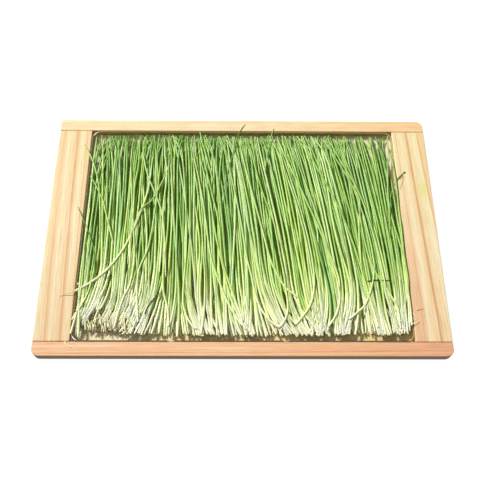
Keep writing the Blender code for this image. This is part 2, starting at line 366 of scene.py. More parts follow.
# %% Boards
left_rings = ring_stops(
    [(-88.0, PALE), (-86.6, CREAM), (-85.6, PEACH), (-83.8, PEACH), (-82.6, PALE), (-80.2, CREAM),
     (-79.2, PEACH), (-77.6, PEACH), (-76.2, PALE), (-74.6, CREAM), (-72.5, PEACH)],
    [(-84.8, 0.3, 0.8, LIGHT_LINE), (-81.6, 0.15, 0.3, PEACH), (-78.4, 0.35, 0.8, TAN_LINE),
     (-73.8, 0.3, 0.5, LIGHT_LINE)])
right_rings_front = ring_stops(
    [(72.5, PEACH), (73.2, SALMON), (76.4, SALMON), (77.4, PALE), (79.4, CREAM), (80.6, PEACH),
     (83.6, CREAM), (85.6, PALE), (87.0, CREAM), (88.4, PEACH)],
    [(75.7, 0.2, 0.4, LIGHT_LINE), (81.3, 0.5, 1.2, ORANGE_LINE), (84.6, 0.15, 0.3, PEACH)])
right_rings_back = ring_stops(
    [(72.5, PEACH), (73.6, PALE), (76.4, CREAM), (78.0, PALE), (79.8, CREAM), (80.6, PEACH),
     (83.0, CREAM), (84.6, PALE), (86.4, PALE), (88.4, PEACH)],
    [(75.7, 0.2, 0.35, TAN_LINE), (81.3, 0.5, 1.1, ORANGE_LINE), (87.6, 0.4, 0.7, TAN_LINE)])
back_rings = ring_stops(
    [(53.3, PALE), (54.8, CREAM), (56.4, PALE), (57.6, CREAM), (59.5, PALE)],
    [(55.6, 0.1, 0.3, PEACH), (57.9, 0.1, 0.4, PEACH)])
front_rings = ring_stops(
    [(-59.5, SALMON), (-58.6, PEACH), (-56.4, SALMON), (-55.2, PEACH), (-53.3, SALMON)],
    [(-57.9, 0.25, 0.6, TAN_LINE), (-55.6, 0.1, 0.3, LIGHT_LINE)])

even = [(0.0, tone(240, 229, 219)), (0.5, tone(251, 249, 243)), (1.0, tone(252, 248, 236))]
greying = [(0.0, tone(250, 241, 236)), (0.4, tone(254, 250, 247)), (1.0, tone(255, 252, 238))]
reddening = [(0.0, tone(254, 244, 230)), (0.12, tone(254, 250, 238)), (0.45, tone(254, 250, 246)),
             (0.75, tone(255, 238, 222)), (1.0, tone(255, 226, 206))]
ruddy = [(0.0, tone(254, 234, 231)), (0.5, tone(255, 231, 224)), (0.7, tone(254, 226, 218)),
         (1.0, tone(243, 208, 205))]

BOARDS = {
    "side_board_left": dict(along_axis="Y", edges=(-88.0, -72.5), drift=(-0.023, 0.0, 0.0002),
                            front=left_rings, back=left_rings, tints=even),
    "side_board_right": dict(along_axis="Y", edges=(72.5, 88.4), drift=(-0.037, -0.0035, -0.0002),
                             front=right_rings_front, back=right_rings_back, tints=greying,
                             stain=(83.8, 21.0, 3.2)),
    "end_batten_back": dict(along_axis="X", edges=(53.3, 59.5), drift=(0.002, 0.0, 0.0),
                            front=back_rings, back=back_rings, tints=reddening,
                            shaded_front_face=(SHADED_INNER_FACE, 72.4)),
    "end_batten_front": dict(along_axis="X", edges=(-59.5, -53.3), drift=(0.009, 0.0, 0.0),
                             front=front_rings, back=front_rings, tints=ruddy,
                             shaded_front_face=(SAWN_AND_SHADED_FACE, 88.0)),
}
for node_name, recipe in BOARDS.items():
    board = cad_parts[node_name]
    board.material_slots[0].material = softwood(node_name + " softwood", **recipe)
    print(node_name, "has its grain")

# %% [markdown]
# ## Base board
# A thin pale board closes the tray underneath, and shows through the clear liner wherever the
# shoots leave a gap. Its grain runs left to right, like a rotary-cut veneer. Towards the front,
# except at the left, it is painted darker and yellower: painted shade, with the warm tint of light
# bounced into it.

# %% Base board
def veneer(name):
    material, tree, shader = new_material(name)
    _, x, y, z = place_in_mm(tree)
    grain = stretched_noise((x, y, z), (0.04, 1.0, 1.0), 1.1, 4.0, 0.6)
    colour = colour_ramp(grain, [(0.30, wood(248, 230, 190)), (0.50, wood(254, 244, 214)),
                                 (0.70, wood(255, 250, 230))])
    # Painted shade: darker and yellower towards the front, except at the left.
    front_shade_tint = mix_colours(rescale(x, -50.0, -20.0), tone(255, 252, 236), tone(254, 238, 184))
    front_to_back_shade_tint = mix_colours(rescale(y, -40.0, 40.0), front_shade_tint, tone(255, 253, 248))
    colour = mix_colours(1.0, colour, front_to_back_shade_tint, "MULTIPLY")
    fill_inputs(shader, {"Base Color": colour, "Normal": bump(grain, 0.2, 0.05),
                         "Roughness": rescale(grain, 0.2, 0.8, 0.75, 0.6)})
    return material


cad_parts["base_board"].material_slots[0].material = veneer("base board veneer")
print("base board has its veneer")

# %% [markdown]
# ## Clear liner
# The liner is a thin clear sheet, pressed to a tray. Light passes it almost freely where it faces
# you, and it mirrors the lamp where it turns away. So its opacity follows the angle to the
# surface. The rim hides against the boards along the sides. Its top edge is painted white, a little
# all round and most at the left corners: a painted glint. The walls are tinted olive and made more
# opaque, and the left wall, which is in shade, is darker still: painted shade.
# The front wall is seen from its shaded side, so it is a dark line with a glint here and there.
# Faint ripples come from a little bump.

# %% Clear liner
LINER_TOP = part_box("liner_tray")[1].z / MM
LINER_FLOOR = 1.6
# The first colour is a painted glint for the rim, and the other two are painted shade on the walls and
# the left wall.
RIM_GLINT_WHITE, WALL_SHADE_TINT, LEFT_WALL_SHADE_TINT = tone(255, 254, 244), tone(204, 182, 96), tone(140, 126, 58)


def clear_plastic(name):
    material, tree, shader = new_material(name)
    vector, x, y, z = place_in_mm(tree)
    ripples = noise(vector, 0.5)
    edge_on = add_node("ShaderNodeLayerWeight", {"Blend": 0.35}, tree).outputs["Facing"]
    past_side = rescale(calculate("ABSOLUTE", x), 69.2, 70.4)
    past_end = rescale(calculate("ABSOLUTE", y), 50.0, 51.2)
    # Painted glint: the rim's top edge is whitened, weakly all round, more at the corners and most at
    # the left.
    glint_strength = rescale(x, -20.0, 20.0, 0.9, 0.3)
    glint_strength = calculate("MULTIPLY_ADD", multiply(past_side, past_end), glint_strength, 0.1)
    rim = multiply(rescale(z, LINER_TOP - 0.12, LINER_TOP - 0.02), glint_strength)
    wall = rescale(z, LINER_FLOOR + 0.2, LINER_FLOOR + 0.9)
    # Painted shade: the left wall is made more opaque and tinted darker.
    shaded_left_wall = multiply(rescale(x, -71.0, -71.6), wall)
    wall_opacity = calculate("MULTIPLY_ADD", shaded_left_wall, 0.3, multiply(wall, 0.42))
    front_wall = rescale(y, -51.2, -52.1, 0.0, 0.75)
    opacity = rescale(edge_on, 0.15, 0.95, 0.06, 0.5)
    for more in (rim, wall_opacity, front_wall):
        opacity = calculate("MAXIMUM", opacity, more)
    sheen = stretched_noise((x, 0.0, 0.0), (0.08, 1.0, 1.0), 1.0)
    glint = mix_colours(rescale(sheen, 0.60, 0.68), tone(92, 78, 38), tone(226, 234, 200))
    body = mix_colours(ripples, tone(226, 216, 168), tone(240, 236, 204))
    # Painted shade on the walls, darker on the left wall.
    body = mix_colours(wall, body, WALL_SHADE_TINT)
    body = mix_colours(shaded_left_wall, body, LEFT_WALL_SHADE_TINT)
    body = mix_colours(rescale(front_wall, 0.1, 0.5), body, glint)
    fill_inputs(shader, {
        "Base Color": mix_colours(rim, body, RIM_GLINT_WHITE), "Alpha": opacity,
        "Roughness": rescale(ripples, 0.3, 0.7, 0.05, 0.12),
        "Normal": bump(ripples, 0.35, 0.4), "IOR": 1.5, "Coat Weight": 0.6,
    })
    return material


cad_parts["liner_tray"].material_slots[0].material = clear_plastic("clear liner plastic")
print("liner top in mm:", round(LINER_TOP, 2))

# %% [markdown]
# ## How the shoots lie
# A pile of long thin stalks can't be placed by eye. Each shoot is laid as a hand would lay it: it
# comes down on whatever is already in the tray and bends only as much as a stiff stalk can. A grid
# of heights remembers the pile. For each new shoot a few places are tried, and it goes where the
# pile is lowest, so that it settles into the groove between two others. All of this is in mm.

# %% The pile's surface
STEP_X, STEP_Y = 0.2, 0.5
GRID_X = np.arange(-90, 90 + STEP_X / 2, STEP_X)
GRID_Y = np.arange(-61, 61 + STEP_Y / 2, STEP_Y)
LINER_HALF_X, LINER_HALF_Y = 71.85, 52.65
WELL_HALF_X, WELL_HALF_Y = 72.5, 53.3
TRAY_HALF_X, TRAY_HALF_Y = 88.0, 59.5
TOP_LIMIT = CAD_BOX[1][2] / MM - 0.05
ACROSS_SHOOT = (-0.7, -0.35, 0.0, 0.35, 0.7)        # in radii

pile = np.zeros((len(GRID_Y), len(GRID_X)))
far_x, far_y = np.meshgrid(np.abs(GRID_X), np.abs(GRID_Y))
pile[(far_x <= TRAY_HALF_X) & (far_y <= TRAY_HALF_Y)] = BOARD_TOP
pile[(far_x <= WELL_HALF_X) & (far_y <= WELL_HALF_Y)] = LINER_TOP
pile[(far_x <= LINER_HALF_X) & (far_y <= LINER_HALF_Y)] = LINER_FLOOR


def grid_cells(x, y):
    columns = np.clip(np.rint((x - GRID_X[0]) / STEP_X).astype(int), 0, len(GRID_X) - 1)
    rows = np.clip(np.rint((y - GRID_Y[0]) / STEP_Y).astype(int), 0, len(GRID_Y) - 1)
    return rows, columns


def support_under(x, y, radius):
    """Highest point of the pile under a shoot at each place along it."""
    heights = [pile[grid_cells(x + offset * radius, y)] for offset in ACROSS_SHOOT]
    return np.max(heights, axis=0)


def drape(support, length_along, stiffness):
    """A stiff stalk over bumps: no lower than its support, and bent down by no more than it can."""
    apart = length_along[:, None] - length_along[None, :]
    height = (support[None, :] - apart ** 2 / (2 * stiffness)).max(axis=1)
    for _ in range(3):
        height[1:-1] = (height[:-2] + 2 * height[1:-1] + height[2:]) / 4
    return height


def settle(x, y, radius, limit=TOP_LIMIT, stiffness=60.0, nest=0.55):
    """Height of a shoot's centre line along its path, resting on the pile, its top below a limit."""
    steps = np.hypot(np.diff(x), np.diff(y))
    length_along = np.concatenate(([0.0], np.cumsum(steps)))
    rest = drape(support_under(x, y, radius), length_along, stiffness)
    return np.minimum(rest + nest * radius, limit - radius)


def add_to_pile(x, y, z, radius):
    """Raises the pile by a shoot that runs mostly front to back."""
    order = np.argsort(y)
    rows = np.arange(*np.rint((np.array([y.min(), y.max()]) - GRID_Y[0]) / STEP_Y).astype(int))
    row_y = GRID_Y[rows]
    row_x, row_z, row_radius = (np.interp(row_y, y[order], each[order]) for each in (x, z, radius))
    reach = int(math.ceil(radius.max() / STEP_X))
    middle = np.rint((row_x - GRID_X[0]) / STEP_X).astype(int)
    for offset in range(-reach, reach + 1):
        columns = middle + offset
        inside = (columns >= 0) & (columns < len(GRID_X))
        away = GRID_X[columns[inside]] - row_x[inside]
        rise = np.sqrt(np.maximum(row_radius[inside] ** 2 - away ** 2, 0.0))
        target = np.where(np.abs(away) < row_radius[inside], row_z[inside] + rise, 0.0)
        cells = (rows[inside], columns[inside])
        pile[cells] = np.maximum(pile[cells], target)


print("pile grid:", pile.shape)

# %% [markdown]
# ## One shoot's path
# A shoot is plumpest just above its cut and tapers to its tip, and the mat slopes down at both ends.
# Seen from above, a shoot is upright at its cut end and leans more and more towards its tip. The
# lean changes across the tray: none at the left, most at the right of the middle. Cut ends gather
# in small tufts, and the last few centimetres before them curve: to the left in the left third, to
# the right in the middle. Those curves are what makes the white zone look alive. Each rule below is
# a row of knots, given as (mm from the tray's middle, value).

# %% Shapes seen from above
CUT_END_Y, TIP_END_Y = -51.1, 51.9
LEFT_LIMIT, RIGHT_LIMIT = -70.3, 70.9
LEAN_POWER = 1.5
LEAN_KNOTS = ((-71.2, 0), (-45, -1.5), (-25, -3), (0, -9), (35, -13.5), (57, -12.5),
              (71.2, -2))
STRAY_KNOTS = ((-71.2, 5), (-55, 8.5), (-30, 8.5), (-12, 5), (30, 4.5), (71.2, 5))
HOOK_KNOTS = ((-71.2, -1), (-62, -6), (-48, -4), (-32, 0), (-14, 1.5), (4, 3.5), (18, 5.5),
              (30, 3.5), (44, -0.5), (58, 1), (71.2, 0))
RAGGED_KNOTS = ((-71.2, 0.2), (-69.5, 0.6), (-66, 4.7), (-55, 4.9), (-49, 2.8), (-40, 0.8), (-25, 0.1),
                (-12, 0.5), (0, 0), (14, 0.6), (28, 0.1), (40, 0.6), (52, 1), (60, 0.5), (71.2, 1.4))
SHORT_TIP_KNOTS = ((-71.2, 3.5), (-68.5, 0.5), (-65.5, 7), (-63.5, 5), (-61.5, 0), (56, 0),
                   (61, 2), (64, 0.5), (71.2, 0.5))
SHORT_BELOW_KNOTS = ((-68, 9), (-48, 9), (-34, 0))
CORNER_KNOTS = ((-71.2, 5), (-67, 2.5), (-62, 0), (60, 0), (71.2, -2.5))
CALM_STRAY, HOOK_STRAY, TIP_STRAY, WAVE_STRAY = 1.7, 1.4, 1.8, 0.75
LATE_START_SHARE, EARLY_STOP_SHARE = 0.07, 0.15
SETBACK_BELOW = 0.7         # shoots below the top ones start this much further back
TUFT_SPACING = (5.0, 9.5)
PATH_POINTS = 200
shares = np.linspace(0.0, 1.0, PATH_POINTS)
GIRTH_ALONG = (0.0, 0.03, 0.10, 0.35, 0.80, 0.95, 1.0)
GIRTH = (0.85, 1.02, 1.08, 0.98, 0.86, 0.76, 0.40)
girth = np.interp(shares, GIRTH_ALONG, GIRTH)
MAT_TOP_PLACES = (-50.5, -42.0, 36.0, 51.0)
MAT_TOP_MIDDLE, MAT_TOP_BACK = 5.0, 3.2
MAT_TOP_FRONT_KNOTS = ((-71.2, 4), (-64, 2.75), (-52, 2.75), (-36, 4.6), (-20, 5), (71.2, 5))


def blended(knots, place):
    """A value that passes smoothly through knots given as (place, value)."""
    for (start, start_value), (stop, stop_value) in zip(knots, knots[1:]):
        if place <= stop:
            share = max(0.0, (place - start) / (stop - start))
            return start_value + (stop_value - start_value) * (1 - math.cos(math.pi * share)) / 2
    return knots[-1][1]


def make_tufts(draw):
    """Places along the cut edge where ends gather, each with its own curve, pull and lean."""
    tufts = []
    place = LEFT_LIMIT + 2.0
    while place < RIGHT_LIMIT:
        tufts.append({"x": place, "hook": draw.normal(0, 2.4), "pull": draw.uniform(0.15, 0.75),
                      "lean": draw.normal(0, 1.4), "curl": draw.uniform(16, 32)})
        place += draw.uniform(*TUFT_SPACING)
    return tufts


def mat_top(base_x, y):
    """How high the mat may rise along a shoot."""
    front = blended(MAT_TOP_FRONT_KNOTS, base_x)
    return np.interp(y, MAT_TOP_PLACES, (front, MAT_TOP_MIDDLE, MAT_TOP_MIDDLE, MAT_TOP_BACK))


def shoot_plan(base_x, draw, tufts, on_top, stray):
    """One shoot seen from above: x and y along it, cut end first."""
    tuft = min(tufts, key=lambda each: abs(each["x"] - base_x))
    lean_stray = blended(STRAY_KNOTS, base_x) if stray else CALM_STRAY
    lean = blended(LEAN_KNOTS, base_x) + draw.normal(0, lean_stray)
    hook = blended(HOOK_KNOTS, base_x) * draw.uniform(0.6, 1.2) + draw.normal(0, HOOK_STRAY)
    if on_top:
        lean += tuft["lean"]
        hook += tuft["hook"] + (tuft["x"] - base_x) * tuft["pull"]
    start_y = CUT_END_Y + abs(draw.normal(0, 0.9)) + blended(RAGGED_KNOTS, base_x)
    if draw.random() < LATE_START_SHARE:
        start_y += draw.uniform(2, 10)
    stop_y = TIP_END_Y - blended(SHORT_TIP_KNOTS, base_x) * draw.uniform(0.6, 1.2)
    if on_top:
        early = abs(draw.normal(0, 1.3))
        early += draw.uniform(1, 14) if draw.random() < EARLY_STOP_SHARE else 0.0
        stop_y -= early
    else:
        start_y += SETBACK_BELOW + draw.uniform(0, 1) * blended(SHORT_BELOW_KNOTS, base_x)
        stop_y += 0.4 - abs(draw.normal(0, 0.6))
    y = start_y + (stop_y - start_y) * shares
    share = np.clip((y - CUT_END_Y) / (TIP_END_Y - CUT_END_Y), 0, 1)
    x = base_x + lean * share ** LEAN_POWER
    curl = tuft["curl"] * draw.uniform(0.85, 1.15)
    x += hook * np.clip(1 - (y - start_y) / curl, 0, 1) ** 2
    x += blended(CORNER_KNOTS, base_x) * np.clip((y - 24) / 26, 0, 1) ** 1.5
    x += draw.normal(0, TIP_STRAY) * np.clip(1 - (stop_y - y) / draw.uniform(8, 26), 0, 1) ** 2
    wave = draw.uniform(0.8, 3.2)
    x += draw.normal(0, WAVE_STRAY) * np.sin(math.pi * wave * shares + draw.uniform(0, 2 * math.pi))
    return np.clip(x, LEFT_LIMIT, RIGHT_LIMIT), y


print("lean at the middle of the tray in mm:", blended(LEAN_KNOTS, 0.0))

# %% [markdown]
# ## Withered stubs
# Under the fresh shoots lie short dry ends, pale and frayed, which peep out in front of the cuts.
# Most are in the left third. They go in first, on the liner's floor. A shoot's record keeps its
# path and what its colour needs: how long its white end is, its shade and hue, and what its cut end
# is like: withered, tucked under others, or a plain cut.

# %% Lay the stubs
STUB_COUNT = 190
STUB_FRONT = -49.0
STUB_SHARE_LEFT = 0.55
STUB_STIFFNESS = 20.0
ALL_WHITE = 30.0            # longer than a stub, so that none of it is green
laid = []


def lay(x, y, z, radius, **facts):
    """Puts a shoot on the pile and keeps its record."""
    add_to_pile(x, y, z, radius)
    laid.append({"x": x, "y": y, "z": z, "radius": radius, **facts})


draw = np.random.default_rng(7)
for _ in range(STUB_COUNT):
    if draw.random() < STUB_SHARE_LEFT:
        stub_x = draw.uniform(-67.0, -42.0)
        stub_y = STUB_FRONT + draw.uniform(0.2, 3.0)
    else:
        stub_x = draw.uniform(-42.0, 70.0)
        stub_y = STUB_FRONT - 1.0 + draw.uniform(0.0, 2.0)
    length = draw.uniform(4.0, 8.0)
    turn = draw.normal(-0.1, 0.2)
    x = np.clip(stub_x + math.sin(turn) * length * shares + draw.normal(0, 0.5) * shares ** 2,
                LEFT_LIMIT, RIGHT_LIMIT)
    y = stub_y + math.cos(turn) * length * shares
    radius = draw.uniform(0.16, 0.34) * girth
    z = settle(x, y, radius, stiffness=STUB_STIFFNESS)
    lay(x, y, z, radius, base_x=stub_x, white=ALL_WHITE, shade=draw.uniform(0.2, 0.9),
        hue=draw.random(), end="withered")
print("stubs:", len(laid))

# %% [markdown]
# ## Laying the mat
# The shoots are laid one after the other. Those laid last lie on top and show from end to end; the
# others show in the gaps and are thinner, and are given a darker green the lower they lie: painted
# shade.
# The last quarter fills up the low spots along the cuts. Plump white ends reach furthest up the
# left third. The draws come from one seeded generator, so the mat is the same each time.

# %% Lay the mat
SHOOT_COUNT = 380
SHOOT_RADIUS = 0.50
PLACES_TRIED = 8
LOWER_SHARE, LOWER_GIRTH = 0.45, 0.8
STRAY_SHARE = 0.2
BARE_PENALTY = 6.0
FILL_FROM, FILL_WEIGHT, FILL_POINTS = 0.75, 2.0, 16
WHITE_KNOTS = ((-71.2, 42), (-45, 40), (-20, 31), (20, 30), (71.2, 29))
# The least shade drawn for a shoot across the tray: lower towards the left and right ends, so the shoots
# there are darker on the whole.
SHADE_KNOTS = ((-71.2, 0), (-40, 0.05), (-10, 0.3), (20, 0.33), (50, 0.05), (71.2, 0))
draw = np.random.default_rng(20)
tufts = make_tufts(draw)

for number in range(SHOOT_COUNT):
    layer = number / SHOOT_COUNT
    on_top = layer > LOWER_SHARE
    stray = on_top and draw.random() < STRAY_SHARE
    radius = SHOOT_RADIUS * draw.uniform(0.82, 1.14) * girth * (1.0 if on_top else LOWER_GIRTH)
    best = None
    for _ in range(PLACES_TRIED):
        base_x = draw.uniform(LEFT_LIMIT + 0.4, RIGHT_LIMIT)
        x, y = shoot_plan(base_x, draw, tufts, on_top, stray)
        top = mat_top(base_x, y)
        z = settle(x, y, radius, limit=top)
        bare = (support_under(x, y, radius) < LINER_FLOOR + 0.3).mean()
        score = z.mean() - BARE_PENALTY * bare
        if layer > FILL_FROM:
            score -= FILL_WEIGHT * (top - z)[:FILL_POINTS].mean()
        if best is None or score < best[0]:
            best = (score, base_x, x, y, z)
    _, base_x, x, y, z = best
    # A shoot's shade shrinks the lower it lies in the pile: painted shade on the lower shoots.
    lay(x, y, z, radius, base_x=base_x,
        white=blended(WHITE_KNOTS, base_x) * draw.uniform(0.35, 1.35),
        shade=draw.uniform(blended(SHADE_KNOTS, base_x), 1.0) * (0.5 + 0.5 * layer),
        hue=draw.random(), end="cut")

heights = np.percentile(pile[(far_x < 68) & (far_y < 46)], (5, 50, 95))
print("shoots laid:", len(laid), "pile height, low to high:", heights.round(2))

# %% [markdown]
# ## Loose shoots on top
# A few shoots stand out in the photograph: they cross the others, or reach out over the boards.
# They are laid last, along given points, cut end first, and rest on what is there. One
# whose first point is well behind the cuts slips out from under the others, so it starts thin and
# shows no dried cut.

# %% Lay the loose shoots
def smooth_line(points, count=PATH_POINTS):
    """A smooth line through points, in even steps."""
    points = np.array(points, float)
    ends = np.vstack([2 * points[0] - points[1], points, 2 * points[-1] - points[-2]])
    place = np.linspace(0, len(points) - 1, count)
    segment = np.minimum(place.astype(int), len(points) - 2)
    t = (place - segment)[:, None]
    a, b, c, d = (ends[segment + offset] for offset in range(4))
    square = 2 * a - 5 * b + 4 * c - d
    cube = 3 * b - a - 3 * c + d
    return 0.5 * (2 * b + (c - a) * t + square * t ** 2 + cube * t ** 3)


LOOSE_SHOOTS = (
    # radius in mm, length of the white zone in mm, shade, points in mm from cut end to tip
    (0.44, 30, 0.7, ((-49.5, -20), (-49.8, -3.7), (-47.8, 4.6), (-45.8, 10.2), (-40.8, 15.4),
        (-35.4, 29.8), (-34.1, 37.2))),
    (0.46, 26, 0.83, ((-33.5, -24), (-35.7, 2.5), (-38, 12), (-41.1, 19.9), (-44.6, 28.8),
        (-47.3, 40.4))),
    (0.45, 26, 0.88, ((-36.4, -22), (-36.1, -3.4), (-36.1, 12), (-35.3, 28), (-36.8, 39.5),
        (-37.5, 50))),
    (0.42, 26, 0.78, ((-50.5, -18), (-49.7, 5.9), (-50, 21.6), (-49, 33.4), (-49.3, 48.4))),
    (0.42, 20, 0.6, ((-57.5, -8), (-61.9, 6.9), (-64, 13.9), (-68.1, 22.3), (-71, 27.2))),
    (0.42, 20, 0.68, ((-72.1, -43.9), (-71.1, -41.5), (-68.9, -37.4), (-66.2, -30), (-65, -18),
        (-65.8, 2))),
    (0.44, 22, 0.7, ((-72.1, -50.1), (-71.8, -48), (-71.1, -44.2), (-70.3, -38.5), (-69.6, -24),
        (-70.4, -4))),
    (0.50, 26, 0.88, ((-68.8, -51.6), (-69.1, -46.9), (-69.4, -42.7), (-69.7, -38.4), (-70.1, -34),
        (-70.5, -27.3), (-70.3, -10), (-69.6, 10))),
    (0.56, 62, 1.0, ((-72.6, -31), (-66.2, -27), (-59.5, -20.9), (-54, -12.8), (-50.1, -4),
        (-46.4, 8), (-43.5, 20.2), (-42.5, 38))),
    (0.40, 2, 0.78, ((-63.5, -6), (-65, 10), (-66.6, 22), (-69.4, 32.3), (-72.6, 39.8),
        (-75.7, 45.3))),
    (0.22, 2, 0.0, ((-64.5, -24), (-65.7, -12), (-68.4, -3.8), (-71.2, 2.5), (-73.5, 7.2),
        (-75.2, 10.8))),
    (0.46, 24, 0.68, ((-0.1, -44.4), (-5.5, -28.2), (-9.3, -14.8), (-10.8, 2.8), (-16.4, 28.1),
        (-20.9, 49.8))),
    (0.50, 29, 0.88, ((23.4, -33.5), (21.6, -31.6), (18, -28.5), (12.6, -17), (9.6, -4), (5.5, 14),
        (1, 34), (-1.5, 48))),
    (0.40, 6, 0.7, ((-13, 22), (-17.5, 40), (-19.4, 47), (-20.5, 53.2))),
    (0.20, 0, 0.0, ((-8, 24), (-5, 38), (-3.4, 45), (-2.2, 50.4), (-0.5, 54.2), (1.5, 57.2))),
    (0.26, 0, 0.4, ((10.5, 30), (12.2, 42), (13.4, 48), (14.6, 52.4), (15.2, 54.8))),
    (0.46, 29, 0.78, ((-19.5, -47.8), (-20.9, -47), (-23.5, -43), (-25.4, -37.7), (-25.8, -31.6),
        (-25.3, -19.9), (-25, -6.1), (-26.4, 18), (-29, 44))),
    (0.44, 26, 0.68, ((-31.3, -46.6), (-32, -39.2), (-34.1, -31.6), (-34.6, -26), (-34.6, -17),
        (-33.5, 6), (-35, 40))),
    (0.46, 34, 0.88, ((-54.2, -47.5), (-53, -41.2), (-51.1, -33.3), (-48.9, -27.9), (-48, -20),
        (-47.9, -11.1), (-50.5, 12), (-53, 38))),
    (0.44, 31, 0.78, ((-44.3, -44.8), (-45.3, -35.4), (-45.7, -27.9), (-45.4, -20.7), (-43.3, -14.4),
        (-41.5, -7.8), (-39.5, 14), (-38.5, 40))),
    (0.42, 26, 0.78, ((-17.6, -50), (-16.8, -42.9), (-16.4, -35.4), (-16.5, -23.8), (-17.2, -15.4),
        (-19.5, 10), (-25, 46))),
    (0.46, 32, 0.88, ((0, -46.6), (-2.8, -42.6), (-7.1, -34.7), (-10.3, -26.1), (-13.8, -15.9),
        (-15.8, -3.6), (-18.5, 16), (-24.5, 46))),
    (0.44, 27, 0.78, ((1.1, -48.1), (-2.1, -41.4), (-4.9, -35), (-7.1, -26.9), (-9.4, -15.9),
        (-12.1, -3.6), (-15.5, 18), (-21, 42))),
    (0.48, 32, 0.88, ((14.7, -46.9), (10.6, -43.2), (7.1, -37.6), (5.1, -30.8), (3.4, -21.8),
        (1.6, -13.8), (-1.5, 8), (-7, 36))),
    (0.44, 27, 0.83, ((14.7, -45.1), (13.1, -41), (10.4, -35.3), (8.3, -27.7), (6.3, -15.8),
        (3.8, 6), (-2, 40))),
    (0.42, 26, 0.78, ((15, -47.2), (16.8, -45.5), (18.7, -41.4), (19.2, -37.2), (18.6, -30.1),
        (17.6, -20.6), (14, 4), (7.5, 40))),
    (0.46, 27, 0.88, ((22.1, -46), (25.4, -42.1), (28.7, -37.2), (30.7, -30.1), (30.9, -18.2),
        (27.5, 6), (18, 44))),
    (0.44, 26, 0.78, ((44.9, -43.6), (49, -40.1), (52.1, -37.2), (54.2, -33), (56.1, -27.6),
        (57.9, -16.6), (55, 8), (47, 36))),
    (0.46, 27, 0.78, ((35.9, -46.9), (39.8, -41), (41.7, -33.7), (41.3, -27.6), (39.6, -18.9),
        (37.9, -11.6), (36.5, -3.4), (31, 18), (24, 44))),
    (0.46, 20, 0.68, ((57.1, -47), (54.6, -33.7), (46.8, 2.8), (34.3, 34.5), (28.9, 48.5))),
    (0.48, 22, 0.83, ((41.4, -31.5), (41.8, -24.9), (39.4, -15.6), (32.3, 6.4), (20.5, 38.4),
        (17, 49.6))),
    (0.44, 19, 0.78, ((62, -30), (60.5, -14), (57.5, 4), (53.5, 20), (46.5, 36), (41, 49.8))),
    (0.44, 19, 0.73, ((52, -22), (52.5, 0), (54, 14), (50.5, 24), (44, 38), (39, 49))),
    (0.44, 22, 0.78, ((66.5, -47.5), (66, -38), (62.5, -30), (57, -19), (54.5, -6), (53, 12))),
    (0.28, 6, 0.0, ((66, -4), (67, 6), (68.4, 16), (70, 21.4), (71.6, 24.4), (73, 26.8),
        (74.6, 28.5), (76, 29.7))),
    (0.47, 22, 0.68, ((70.5, -48.2), (70.9, -38.9), (71.7, -28), (71.9, -22.6), (71.4, -10),
        (71, -3.1), (70.5, 7.2), (69.5, 25.8))),
    (0.44, 26, 0.5, ((71.4, -46), (71.6, -36), (71.4, -22), (71.6, -4), (71.7, 14), (71.6, 27),
        (70.8, 46))),
    (0.34, 3, 0.78, ((69.7, 36), (69.9, 43.1), (70.3, 48.1), (70.7, 52))),
)
TUCKED_BEHIND = -42.0
TUCKED_START, TUCKED_GROWTH = 0.3, 12.0
LOOSE_STIFFNESS, LOOSE_LIFT, LOOSE_HUE = 80.0, 0.9, 0.4
for radius, white, shade, points in LOOSE_SHOOTS:
    line = smooth_line(points)
    x, y = line[:, 0], line[:, 1]
    tucked = points[0][1] > TUCKED_BEHIND and abs(points[0][0]) < RIGHT_LIMIT
    along = np.minimum(girth, TUCKED_START + TUCKED_GROWTH * shares) if tucked else girth
    z = settle(x, y, radius * along, stiffness=LOOSE_STIFFNESS, nest=LOOSE_LIFT)
    middle_x = np.clip(points[len(points) // 2][0], LEFT_LIMIT, RIGHT_LIMIT)
    lay(x, y, z, radius * along, base_x=middle_x, white=white, shade=shade, hue=LOOSE_HUE,
        end="tucked" if tucked else "cut")
print("shoots in all:", len(laid))

# %% [markdown]
# ## Sweeping the shoots
# So far a shoot is a line of points. A Geometry Nodes tree turns all lines of one handful into
# stalks at once: edges become curves, each point's thickness becomes the curve's radius, and a
# small ring is swept along. A stalk needs few faces, because it is a millimetre thick.

# %% Geometry Nodes tree for stalks
STALK_POINTS = 17
STALK_SIDES = 6
SHARP_ANGLE = math.radians(62)


def stalk_tree():
    """Sweeps a ring along every line of edges, with the point attribute thickness as radius."""
    tree = bpy.data.node_groups.new("sweep stalks", "GeometryNodeTree")
    for label, kind in (("Geometry", "Geometry"), ("Thickness scale", "Float"), ("Sides", "Int"),
                        ("Material", "Material")):
        tree.interface.new_socket(label, in_out="INPUT", socket_type="NodeSocket" + kind)
    tree.interface.new_socket("Geometry", in_out="OUTPUT", socket_type="NodeSocketGeometry")
    given = add_node("NodeGroupInput", {}, tree).outputs
    lines = add_node("GeometryNodeMeshToCurve", {"Mesh": given["Geometry"]})
    thickness = add_node("GeometryNodeInputNamedAttribute", {"Name": "thickness"}, tree,
                         data_type="FLOAT")
    radius = multiply(thickness.outputs["Attribute"], given["Thickness scale"])
    ring = add_node("GeometryNodeCurvePrimitiveCircle", {"Resolution": given["Sides"], "Radius": 1.0})
    swept = add_node("GeometryNodeCurveToMesh",
                     {"Curve": lines.outputs[0], "Profile Curve": ring.outputs["Curve"],
                      "Scale": radius, "Fill Caps": True})
    real = add_node("GeometryNodeRealizeInstances", {"Geometry": swept.outputs[0]})
    dressed = add_node("GeometryNodeSetMaterial",
                       {"Geometry": real.outputs[0], "Material": given["Material"]})
    add_node("NodeGroupOutput", {"Geometry": dressed.outputs[0]})
    return tree


